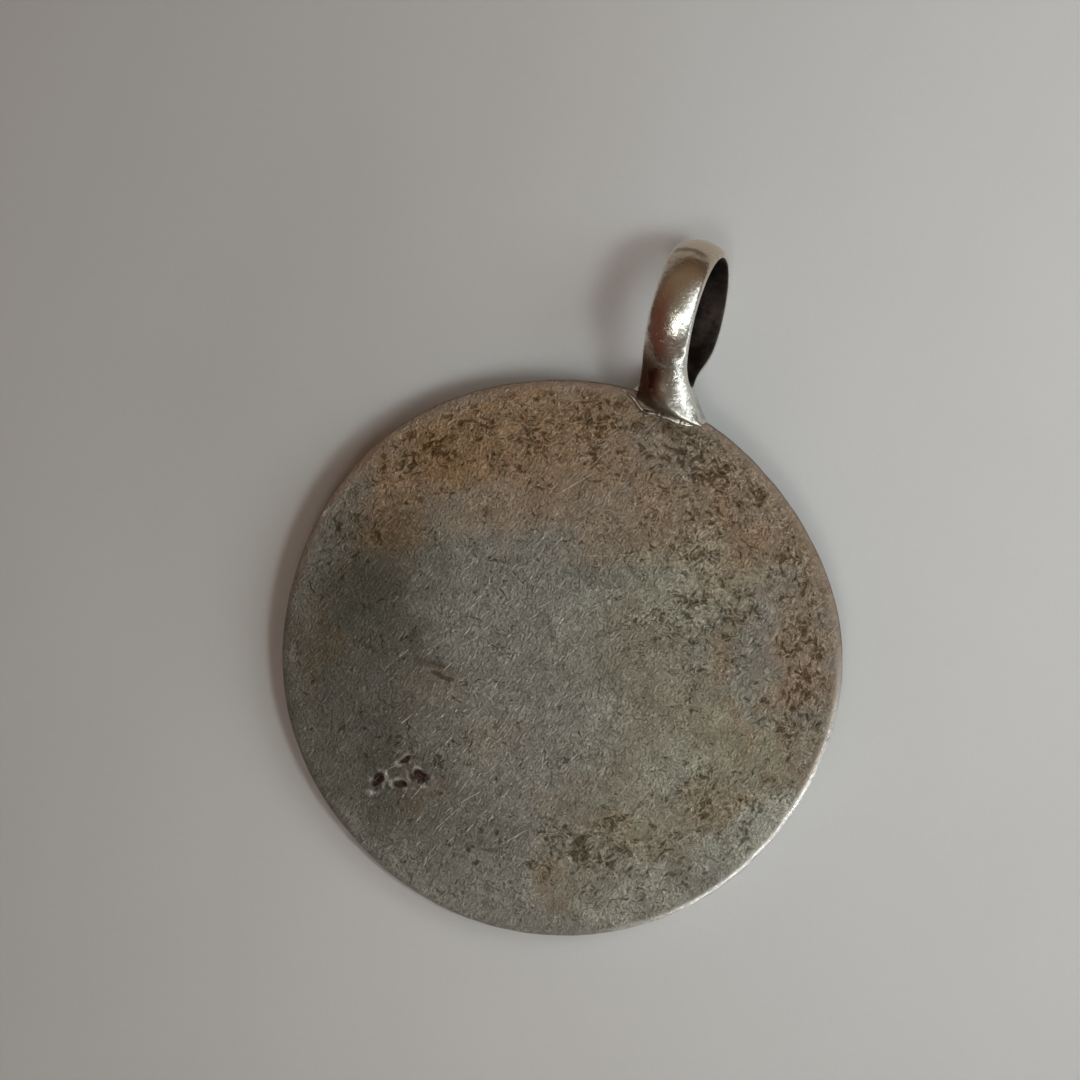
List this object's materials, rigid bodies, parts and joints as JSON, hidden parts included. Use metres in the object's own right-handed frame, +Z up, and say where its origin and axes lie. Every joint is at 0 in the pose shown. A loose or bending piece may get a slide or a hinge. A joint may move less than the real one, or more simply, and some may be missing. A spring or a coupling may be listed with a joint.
{
  "type": "round disc pendant with ring bail",
  "caption": "Round flat silver pendant with a worn, tarnished back and a domed ring bail soldered to its rim, lying face down.",
  "frame": {"origin": "bottom centre of the pendant's bounding box, as it lies on a table", "axes": "+Z up, away from the table and out of the disc's back; +Y from the disc's centre to the bail; +X to the right seen from above"},
  "size_m": [0.028, 0.0361, 0.0078],
  "materials": {
    "silver": "dull tarnished silver, finely scratched and pitted on the disc, polished on the bail"
  },
  "bodies": {
    "root": {"pendant": "silver"}
  },
  "joints": []
}
